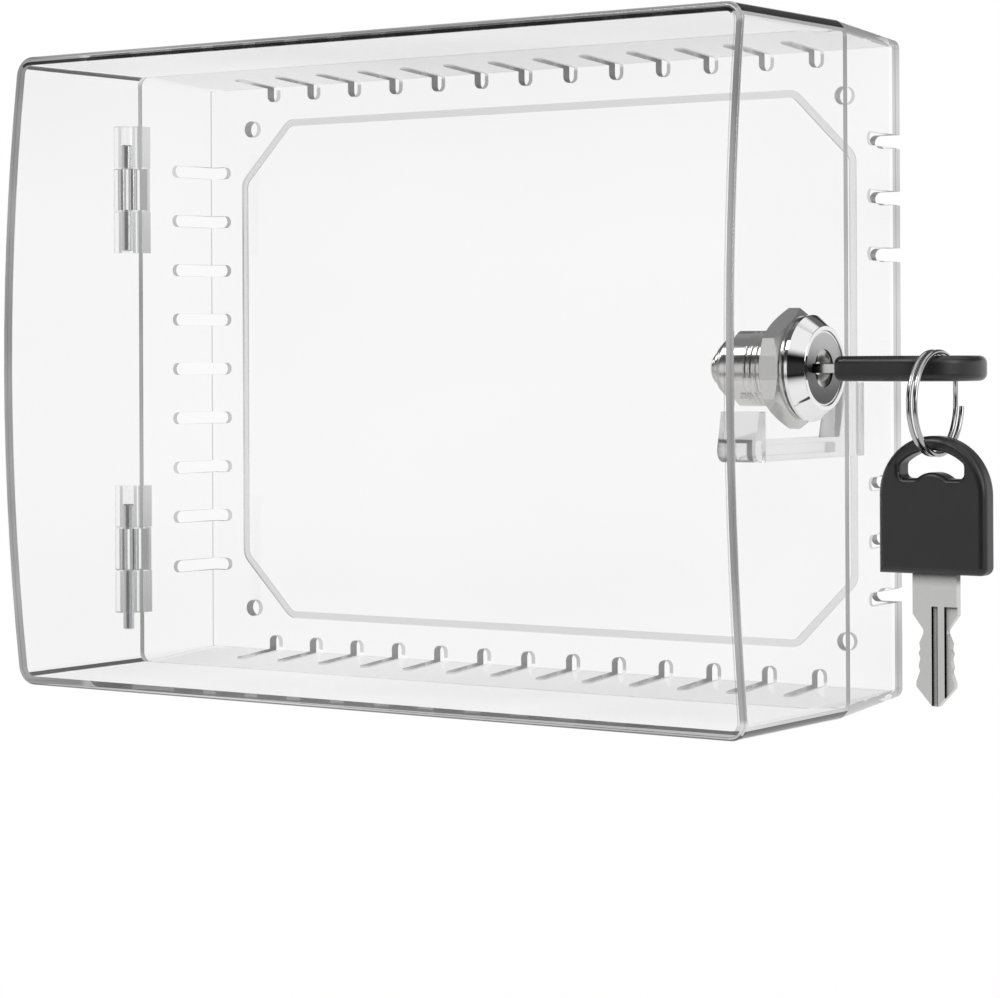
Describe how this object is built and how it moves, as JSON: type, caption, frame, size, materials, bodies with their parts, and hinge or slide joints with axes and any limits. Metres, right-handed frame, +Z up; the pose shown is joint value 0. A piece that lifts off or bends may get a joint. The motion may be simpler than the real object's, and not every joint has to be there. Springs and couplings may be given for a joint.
{
  "type": "thermostat lock box",
  "caption": "Clear hinged wall guard box for a thermostat, with a slotted base tray, a bowed cover and a side cam lock with keys on a split ring.",
  "frame": {"origin": "centre of the base tray's flat back face, on the wall", "axes": "+X to the lock side, along the box's width; +Y into the wall; +Z up"},
  "size_m": [0.2963, 0.0895, 0.175],
  "materials": {
    "clear_plastic": "clear polycarbonate, polished, glass-smooth, slightly darker at its edges",
    "frosted_plastic": "milky translucent plastic, satin",
    "pin_steel": "drawn stainless wire, satin",
    "lock_nickel": "nickel-plated zinc casting, bright with fine turning marks",
    "bezel_chrome": "polished chrome plate",
    "nut_steel": "zinc-plated steel, satin",
    "face_steel": "dark satin stainless steel",
    "wafer_brass": "stamped brass",
    "spring_steel": "fine spring wire",
    "cam_steel": "zinc-plated steel, slightly rough",
    "blade_nickel": "nickel plate, satin",
    "head_black": "moulded black plastic, satin with a fine grain",
    "ring_chrome": "nickel-plated spring steel, polished"
  },
  "bodies": {
    "base": {"base_tray": "clear_plastic", "strike_bracket": "frosted_plastic", "hinge_pin_upper": "pin_steel", "hinge_pin_lower": "pin_steel"},
    "cover": {"cover": "clear_plastic", "lock_body": "lock_nickel", "lock_face_cap": "bezel_chrome", "wall_washer": "nut_steel", "mounting_nut": "nut_steel"},
    "plug": {"lock_plug": "lock_nickel", "plug_face": "face_steel", "wafers": "wafer_brass", "wafer_springs": "spring_steel", "stop_washer": "nut_steel", "lock_cam": "cam_steel", "cam_washer": "nut_steel", "cam_screw": "cam_steel"},
    "key": {"key_blade": "blade_nickel", "key_head": "head_black"},
    "ring": {"key_ring": "ring_chrome"},
    "spare_key": {"spare_key_blade": "blade_nickel", "spare_key_head": "head_black"}
  },
  "joints": [
    {"name": "cover_swing", "type": "hinge", "parent": "base", "child": "cover", "pos_m": [-0.1222, -0.0327, 0], "axis": [0, 0, -1], "range_deg": [0, 120]},
    {"name": "plug_turn", "type": "hinge", "parent": "cover", "child": "plug", "pos_m": [0.1175, -0.052, 0.0004], "axis": [-1, 0, 0], "range_deg": [0, 90]},
    {"name": "key_slide", "type": "slide", "parent": "plug", "child": "key", "axis": [1, 0, 0], "range_m": [0, 0.035]},
    {"name": "ring_swing", "type": "hinge", "parent": "key", "child": "ring", "pos_m": [0.1563, -0.0619, 0.0004], "axis": [1, 0, 0], "range_deg": [-25, 25]},
    {"name": "spare_key_swing", "type": "hinge", "parent": "ring", "child": "spare_key", "pos_m": [0.1563, -0.0619, -0.0077], "axis": [1, 0, 0], "range_deg": [-45, 45]}
  ]
}
